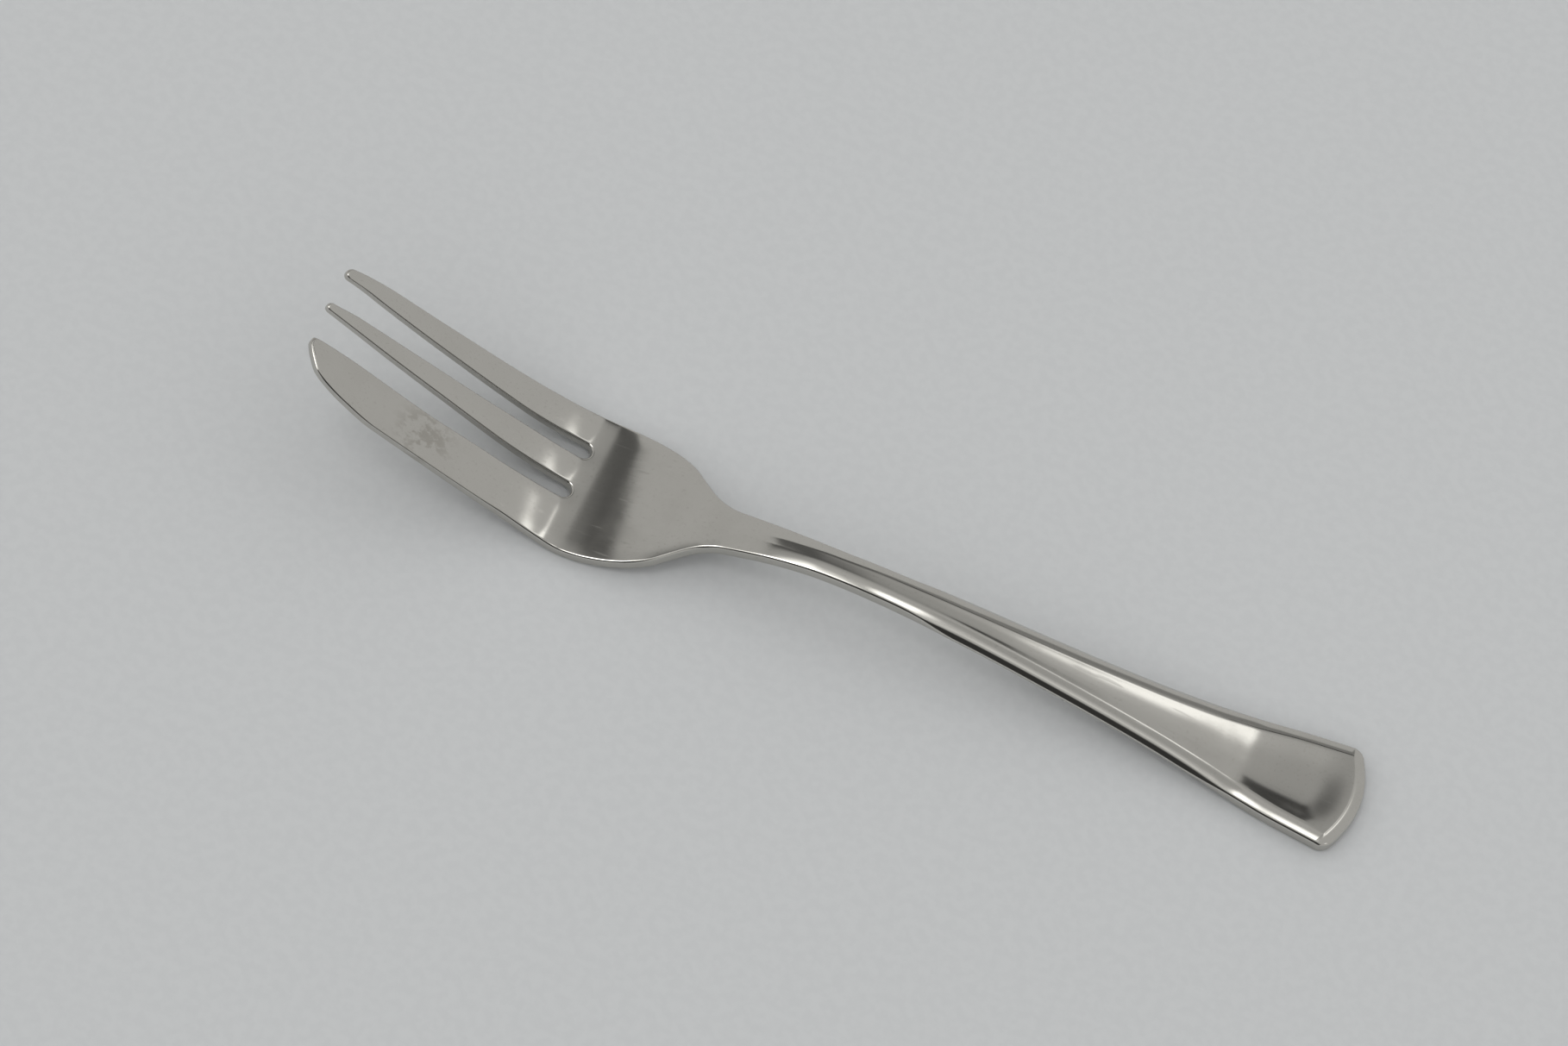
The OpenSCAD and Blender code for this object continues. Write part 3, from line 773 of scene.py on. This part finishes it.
# %% Crown of the head
CROWN_DROP, CROWN_WIDTH, CROWN_END = 0.06, 2.0, 66.0
CROWN_FADE = (HEAD_LENGTH - 6, HEAD_LENGTH + 4)
BELLY_BOW, BOW_MEASURED_AT = 0.07, 8.0
BOW_RISE, BOW_FADE = (31, 39), (46, 56)
ROOT_POINTS = 120

outline = [knife_line[0], middle_line[0], plain_line[0]]
root_turn = np.linspace(-math.pi / 2, math.pi / 2, ROOT_POINTS)[:, None]
for root_y in (UPPER_ROOT, LOWER_ROOT):
    outline.append(np.array([ROOT_AT, root_y])
                   + ROOT_RADIUS * np.concatenate([np.cos(root_turn), np.sin(root_turn)], axis=1))
behind = np.arange(ROOT_AT, CROWN_END, DENSE)
outline += [np.stack([behind, edge(behind)], axis=1) for edge in (plain_outer, knife_outer)]
outline = np.concatenate(outline)
edge_tree = KDTree(len(outline))
for i, (x, y) in enumerate(outline):
    edge_tree.insert((x, y, 0), i)
edge_tree.balance()


def crown(points):
    """The head's upper face falls gently towards every edge, and the belly is bowed"""
    x, y = points[:, 0], points[:, 1]
    gap = np.array([edge_tree.find((a, b, 0))[2] for a, b in zip(x, y)])
    fade = 1 - eased(x, *CROWN_FADE)
    bowed = eased(x, *BOW_RISE) * (1 - eased(x, *BOW_FADE))
    across = BELLY_BOW * bowed * (y / BOW_MEASURED_AT) ** 2
    return CROWN_DROP * fade * np.clip(1 - gap / CROWN_WIDTH, 0, 1) ** 2 + across


print("points on all the outlines:", len(outline))

# %% [markdown]
# ## From the flat plan to the bent fork
# The sheet is bent like a real one: a place at a height over the underside moves square
# to it, so the upper face leans over where the sheet rises. Rounding the tips' lower edge
# would make the fork a little shorter, so the tips are moved out by as much.

# %% Lift the plan
TIP_BACK = float(BACK_RADIUS * (1 + lean_table[0] - math.hypot(1, lean_table[0])))
SETTLING_ROUNDS = 6


def raised(x, y, height):
    """Place at a height over the underside, in the frame of the measured fork"""
    lean = at_station(lean_table, x)
    upright = np.sqrt(1 - lean ** 2)
    return np.stack([x + lean * height - LENGTH / 2 - TIP_BACK * (1 - x / LENGTH), y,
                     at_station(under_table, x) + upright * height], axis=1)


def lifted(points, on_top):
    """Turns plan places with their edge distance into places on the fork"""
    x, y, distance = foot(points[:, 0]), points[:, 1], points[:, 2]
    s = x.copy()
    for _ in range(SETTLING_ROUNDS):
        s = np.minimum(LENGTH, x + run_ahead(s, y))
    half = half_beside(s, y)
    upper = upper_height(s, x, y, half, distance) - crown(points)
    return raised(x, y, np.where(on_top, upper, lower_height(s, half, distance)))


print("the tips are moved out by, mm:", round(TIP_BACK, 3))

# %% [markdown]
# ## One closed mesh
# Every net is a grid whose vertices are moved to their places in the plan. Where two nets
# meet, their vertices coincide and are merged.

# %% Build the fork
MERGE_WITHIN = 0.002
SEAM_GAP = 0.01


def lay_net(bm, net):
    """Adds a grid with one vertex for every place of the net"""
    n, m = net.shape[:2]
    made = bmesh.ops.create_grid(bm, x_segments=n - 1, y_segments=m - 1, size=1)["verts"]
    for vert in made:
        row = round((vert.co.x + 1) / 2 * (n - 1))
        column = round((vert.co.y + 1) / 2 * (m - 1))
        x, y, distance = net[row, column]
        vert.co = (x, y, 0)
        vert[from_edge] = distance


bm = bmesh.new()
from_edge = bm.verts.layers.float.new("from_edge")
for net in [knife_band, knife_core, middle_band, middle_core, plain_band, plain_core,
            upper_root, lower_root, *side_nets, body_net]:
    lay_net(bm, net)
laid = len(bm.verts)
bmesh.ops.remove_doubles(bm, verts=bm.verts[:], dist=MERGE_WITHIN)
seams = [e for e in bm.edges if e.is_boundary and max(v[from_edge] for v in e.verts) > SEAM_GAP]
print("vertices merged:", laid - len(bm.verts), "seams left open:", len(seams))

# %% [markdown]
# ## Thickness and smooth shading
# Extruding the sheet gives it a second face and the walls between, and both faces are
# then lifted to their heights. The normals have to face outwards, and a closed mesh has a
# positive volume when they do. The rounded edges have faces of their own, so smooth
# shading is enough.

# %% Extrude and lift
bmesh.ops.recalc_face_normals(bm, faces=bm.faces[:])
extruded = bmesh.ops.extrude_face_region(bm, geom=bm.faces[:])
top_verts = {v for v in extruded["geom"] if isinstance(v, bmesh.types.BMVert)}
verts = list(bm.verts)
points = np.array([(v.co.x, v.co.y, v[from_edge]) for v in verts])
on_top = np.array([v in top_verts for v in verts])
for vert, place in zip(verts, lifted(points, on_top)):
    vert.co = place * MM
bm.normal_update()
bmesh.ops.recalc_face_normals(bm, faces=bm.faces[:])
if bm.calc_volume(signed=True) < 0:
    bmesh.ops.reverse_faces(bm, faces=bm.faces[:])
open_edges = [e for e in bm.edges if len(e.link_faces) != 2]
for face in bm.faces:
    face.smooth = True
mesh = bpy.data.meshes.new("fork_metal")
bm.to_mesh(mesh)
print("faces:", len(bm.faces), "open edges:", len(open_edges), "volume, mm3:", bm.calc_volume() / MM ** 3)
bm.free()

# %% [markdown]
# ## The fork in its place
# The fine mesh takes the place of the measured solid and rides on the same body. It is neither moved nor
# scaled, because it was built in that frame.

# %% Put the fork in its place
fork = bpy.data.objects.new("fork_metal", mesh)
bpy.context.scene.collection.objects.link(fork)
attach(fork, "root")
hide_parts("pastry_fork")
print("the fork lies at:", tuple(fork.location), "scaled by:", tuple(fork.scale))

# %% [markdown]
# ## Helpers for shaders
# Both the steel and the room are built from small sums, so the helpers for sums, soft
# steps, masks, grain and mixed colours are shared.

# %% Helpers for shaders
def node(tree, kind, **values):
    made = tree.nodes.new("ShaderNode" + kind)
    for key, value in values.items():
        setattr(made, key, value)
    return made


def calc(tree, operation, *values):
    """Math node whose values are numbers or other nodes' outputs"""
    made = node(tree, "Math", operation=operation)
    for socket, value in zip(made.inputs, values):
        if isinstance(value, (int, float)):
            socket.default_value = value
        else:
            tree.links.new(value, socket)
    return made.outputs[0]


def soft_step(tree, value, start, end, low=0.0, high=1.0):
    """Softly from one level at start to another at end"""
    made = node(tree, "MapRange", interpolation_type="SMOOTHSTEP")
    tree.links.new(value, made.inputs["Value"])
    for name, number in (("From Min", start), ("From Max", end), ("To Min", low), ("To Max", high)):
        made.inputs[name].default_value = number
    return made.outputs[0]


def laid_over(tree, value, mask, new_value):
    """The value with a new one laid over it where the mask is 1"""
    kept = calc(tree, "MULTIPLY", value, calc(tree, "SUBTRACT", 1, mask))
    return calc(tree, "ADD", kept, calc(tree, "MULTIPLY", mask, new_value))


def grain(tree, scale, stretch=(1, 1, 1), detail=2.0, roughness=0.5):
    """Noise over an object, even or stretched along one way"""
    place = node(tree, "TexCoord").outputs["Object"]
    mapping = node(tree, "Mapping")
    mapping.inputs["Scale"].default_value = stretch
    tree.links.new(place, mapping.inputs["Vector"])
    noise = node(tree, "TexNoise")
    noise.inputs["Scale"].default_value = scale
    noise.inputs["Detail"].default_value = detail
    noise.inputs["Roughness"].default_value = roughness
    tree.links.new(mapping.outputs[0], noise.inputs["Vector"])
    return noise.outputs["Fac"]


def mixed_colour(tree, mask, first, second, socket):
    """Leads to a socket one colour where the mask is 0 and another where it is 1"""
    mix = node(tree, "Mix", data_type="RGBA")
    tree.links.new(mask, mix.inputs["Factor"])
    mix.inputs["A"].default_value = (*first, 1)
    mix.inputs["B"].default_value = (*second, 1)
    tree.links.new(mix.outputs["Result"], socket)


print("materials so far:", len(bpy.data.materials))

# %% [markdown]
# ## Polished steel and its wear
# Stainless steel mirrors a little more than half of the light, with a trace of warmth. In
# use it takes fine scratches, mostly lengthwise because it is wiped that way, and small
# dull patches. Scratches too fine to be seen singly are a change of roughness, and the
# coarser unevenness is a very slight bump.

# %% Polished steel
POLISH = 0.075
DULLER_BY, GRAIN_WEAR, SCRATCH_WEAR = 0.04, 0.04, 0.06
BUMP_STRENGTH, BUMP_HEIGHT, CLOUDS_IN_BUMP = 0.06, 0.03 * MM, 0.7

steel = bpy.data.materials.new("polished_steel")
steel.use_nodes = True
metal = steel.node_tree
shader = metal.nodes["Principled BSDF"]
shader.inputs["Metallic"].default_value = 1

lengthwise = grain(metal, scale=900, stretch=(0.05, 1, 1), detail=3.0, roughness=0.6)
cloudy = grain(metal, scale=160, detail=4.0, roughness=0.6)
scratch = soft_step(metal, grain(metal, scale=1500, stretch=(0.03, 1, 1), detail=1.0), 0.66, 0.74)
dull = soft_step(metal, cloudy, 0.45, 0.72, 0.0, DULLER_BY)
fine = calc(metal, "ADD", calc(metal, "MULTIPLY", lengthwise, GRAIN_WEAR),
            calc(metal, "MULTIPLY", scratch, SCRATCH_WEAR))
rough = calc(metal, "ADD", calc(metal, "ADD", POLISH, dull), fine)

bump = node(metal, "Bump")
bump.inputs["Strength"].default_value = BUMP_STRENGTH
bump.inputs["Distance"].default_value = BUMP_HEIGHT
unevenness = calc(metal, "ADD", lengthwise, calc(metal, "MULTIPLY", cloudy, CLOUDS_IN_BUMP))
metal.links.new(unevenness, bump.inputs["Height"])
metal.links.new(bump.outputs["Normal"], shader.inputs["Normal"])
fork.data.materials.append(steel)
print("steel nodes:", len(metal.nodes))

# %% [markdown]
# ## Stains
# The broad tine has a few faint stains from food about halfway along it, and all of the
# metal has tiny pits and a slight, cloudy tarnish. A stain is darker, browner and a
# little duller: a noise that only shows within a few millimetres of one place.

# %% Stains and tarnish
STEEL_COLOUR = (0.575, 0.562, 0.525)
STAIN_COLOUR = (0.34, 0.32, 0.28)
STAIN_PLACE = Vector((-56.5, -7.2, 7.8)) * MM
STAIN_CORE, STAIN_REACH = 1.5 * MM, 6 * MM
STAIN_DEPTH, STAIN_DULLS_BY = 0.55, 0.06
PIT_DEPTH, TARNISH_DEPTH = 0.14, 0.08

offset = node(metal, "VectorMath", operation="DISTANCE")
metal.links.new(node(metal, "TexCoord").outputs["Object"], offset.inputs[0])
offset.inputs[1].default_value = STAIN_PLACE
near_stain = soft_step(metal, offset.outputs["Value"], STAIN_CORE, STAIN_REACH, 1.0, 0.0)
blotch = grain(metal, scale=700, stretch=(0.7, 1, 1), detail=3.0, roughness=0.65)
blotch = calc(metal, "MULTIPLY", near_stain, soft_step(metal, blotch, 0.42, 0.6))
stain = calc(metal, "MULTIPLY", blotch, STAIN_DEPTH)
pits = soft_step(metal, grain(metal, scale=2600, detail=1.0), 0.62, 0.74, 0.0, PIT_DEPTH)
tarnish = calc(metal, "ADD", pits, soft_step(metal, cloudy, 0.4, 0.7, 0.0, TARNISH_DEPTH))
tarnish = calc(metal, "MAXIMUM", stain, tarnish)
mixed_colour(metal, tarnish, STEEL_COLOUR, STAIN_COLOUR, shader.inputs["Base Color"])
rough = calc(metal, "ADD", rough, calc(metal, "MULTIPLY", stain, STAIN_DULLS_BY))
metal.links.new(rough, shader.inputs["Roughness"])
print("steel nodes with the stains:", len(metal.nodes))

# %% [markdown]
# ## The table
# The fork lies on a sheet of pale grey paper. Paper is quite matt, so it shows no more
# than its fibres and the soft shadow. The sheet is far wider than the picture, so its
# edges lie outside it.

# %% Table
TABLE_HALF = 3.0
PAPER_GREY = (0.518, 0.528, 0.536)
PAPER_LIGHT = (0.535, 0.545, 0.552)
PAPER_ROUGHNESS = 0.9

floor_bm = bmesh.new()
bmesh.ops.create_grid(floor_bm, x_segments=1, y_segments=1, size=TABLE_HALF)
floor_mesh = bpy.data.meshes.new("table_top")
floor_bm.to_mesh(floor_mesh)
floor_bm.free()
floor = bpy.data.objects.new("table_top", floor_mesh)
bpy.context.scene.collection.objects.link(floor)

paper = bpy.data.materials.new("pale_paper")
paper.use_nodes = True
sheet = paper.node_tree
paper_shader = sheet.nodes["Principled BSDF"]
fibres = soft_step(sheet, grain(sheet, scale=700, detail=3.0), 0.35, 0.65)
mixed_colour(sheet, fibres, PAPER_GREY, PAPER_LIGHT, paper_shader.inputs["Base Color"])
paper_shader.inputs["Roughness"].default_value = PAPER_ROUGHNESS
paper_shader.inputs["Specular IOR Level"].default_value = 0.0
floor.data.materials.append(paper)
print("table, m:", [round(v, 2) for v in floor.dimensions])

# %% [markdown]
# ## A sky to paint on
# Polished metal has hardly a look of its own: it shows the room. The room could be built
# from walls and lamps, but it is simpler to paint it on the sky as soft patches. Each is
# placed by how far it lies to the right and to the far side, from -1 to 1, as on a dome
# seen from straight above.

# %% Helpers for the sky
world = bpy.data.worlds.new("studio")
bpy.context.scene.world = world
world.use_nodes = True
room = world.node_tree
parts = node(room, "SeparateXYZ")
room.links.new(node(room, "TexCoord").outputs["Generated"], parts.inputs[0])
right, far, above = parts.outputs


def band(value, start, full, last, end):
    """1 between full and last, and softly 0 outside start and end"""
    return calc(room, "MULTIPLY", soft_step(room, value, start, full),
                soft_step(room, value, last, end, 1.0, 0.0))


def patch(across, beyond):
    """Patch of the sky between four places to the right and four to the far side"""
    return calc(room, "MULTIPLY", band(right, *across), band(far, *beyond))


def spot(place_right, place_far, half_width, half_depth):
    """Oval patch about a place on the sky, 1 in its middle"""
    run = calc(room, "DIVIDE", calc(room, "SUBTRACT", right, place_right), half_width)
    rise = calc(room, "DIVIDE", calc(room, "SUBTRACT", far, place_far), half_depth)
    away = calc(room, "SQRT", calc(room, "ADD", calc(room, "MULTIPLY", run, run),
                                   calc(room, "MULTIPLY", rise, rise)))
    return soft_step(room, away, 0, 1, 1.0, 0.0)


def slanted(slant):
    """How far to the far side, measured along a slanting line"""
    return calc(room, "SUBTRACT", far, calc(room, "MULTIPLY", right, slant))


print("sky nodes to start with:", len(room.nodes))

# %% [markdown]
# ## Wall and dark bar
# Most of the room is a pale wall. Beyond the fork it falls into shade, and the shade ends
# in a dark bar that slants across, soft on the side towards the fork and sharp on the
# other. Two small patches are darker too: a faint one near the middle and one at the bar.

# %% Wall and dark bar
WALL, SHADED_WALL, DARK_BAR, FAINT_BAR = 0.56, 0.43, 0.12, 0.27
BAR_SLANT, SHADE_STARTS, SHADE_FULL = 0.8, 0.30, 0.58
BAR_FROM, BAR_DARK_FROM, BAR_DARK_TO, BAR_TO = 0.54, 0.76, 0.83, 0.86
BAR_ACROSS, FAINTER_FROM, FAINT_AT = (-0.41, -0.36, 0.12, 0.17), -0.12, 0.0
SHADOWS = {"near the middle": ((0.03, 0.06, 0.16, 0.2), (0.03, 0.07, 0.28, 0.36), 0.46),
           "at the bar": ((-0.06, 0.0, 0.125, 0.14), (0.655, 0.68, 0.72, 0.75), 0.06)}

along_bar = slanted(BAR_SLANT)
bar_level = soft_step(room, right, FAINTER_FROM, FAINT_AT, DARK_BAR, FAINT_BAR)
shade = soft_step(room, along_bar, SHADE_STARTS, SHADE_FULL, WALL, SHADED_WALL)
bar = band(along_bar, BAR_FROM, BAR_DARK_FROM, BAR_DARK_TO, BAR_TO)
behind_bar = laid_over(room, shade, bar, bar_level)
behind_bar = laid_over(room, behind_bar, soft_step(room, along_bar, BAR_DARK_TO, BAR_TO), WALL)
level = laid_over(room, WALL, band(right, *BAR_ACROSS), behind_bar)
for across, beyond, strength in SHADOWS.values():
    level = laid_over(room, level, patch(across, beyond), strength)
print("sky nodes with the wall:", len(room.nodes))

# %% [markdown]
# ## Window, lamps and the dark near side
# A window glows to the right on the far side, with a brighter glint beside it. A small
# lamp hangs overhead, a faint one just right of it, and a broad strong one to the left on
# the near side. Further down the near side, where the camera stands, it is dark.

# %% Window, lamps and near side
WINDOW, NEAR_SIDE = 1.7, 0.045
WINDOW_ACROSS = (0.145, 0.172, 0.24, 0.30)
WINDOW_START_SLANT, WINDOW_STARTS, WINDOW_FULL = -2.5, 0.80, 0.835
WINDOW_END_SLANT, WINDOW_FADES, WINDOW_ENDS = -2.0, 0.84, 0.91
NEAR_ACROSS, NEAR_BEYOND = (-0.45, -0.3, 0.3, 0.45), (-0.99, -0.95, -0.62, -0.25)
LIGHTS = {"glint": ((0.29, 0.42, 0.04, 0.22), 1.9), "side lamp": ((-0.26, -0.18, 0.2, 0.42), 6.0),
          "faint lamp": ((0.11, -0.08, 0.15, 0.12), 0.9), "lamp": ((-0.005, 0.05, 0.075, 0.14), 3.2)}

beyond_start = soft_step(room, slanted(WINDOW_START_SLANT), WINDOW_STARTS, WINDOW_FULL)
before_end = soft_step(room, slanted(WINDOW_END_SLANT), WINDOW_FADES, WINDOW_ENDS, 1.0, 0.0)
window = calc(room, "MULTIPLY", band(right, *WINDOW_ACROSS),
              calc(room, "MULTIPLY", beyond_start, before_end))
level = laid_over(room, level, window, WINDOW)
level = laid_over(room, level, patch(NEAR_ACROSS, NEAR_BEYOND), NEAR_SIDE)
for place, strength in LIGHTS.values():
    level = laid_over(room, level, spot(*place), strength)
print("sky nodes with the lights:", len(room.nodes))

# %% [markdown]
# ## Light for matt things
# The patches would light the paper unevenly, so matt surfaces get a plain light of their
# own. It comes mostly from low down all round, with a little more from the far side, and
# in all it is as strong as it takes for a colour to look as it is written.

# %% Light for matt things
OVERHEAD, MORE_LOW_DOWN, MORE_FAR_SIDE = 0.2, 2.4, 0.15
DAYLIGHT = (1, 1, 0.99, 1)

low_down = calc(room, "MULTIPLY", calc(room, "SUBTRACT", 1, above), MORE_LOW_DOWN)
matt_level = calc(room, "ADD", low_down, calc(room, "MULTIPLY", far, MORE_FAR_SIDE))
matt_level = calc(room, "ADD", OVERHEAD, matt_level)
is_matt = node(room, "LightPath").outputs["Is Diffuse Ray"]
background = room.nodes["Background"]
room.links.new(laid_over(room, level, is_matt, matt_level), background.inputs["Strength"])
background.inputs["Color"].default_value = DAYLIGHT
print("sky nodes:", len(room.nodes))

# %% [markdown]
# ## Plain colours
# The picture is shown with plain, standard colours.

# %% Plain colours
bpy.context.scene.view_settings.view_transform = "Standard"
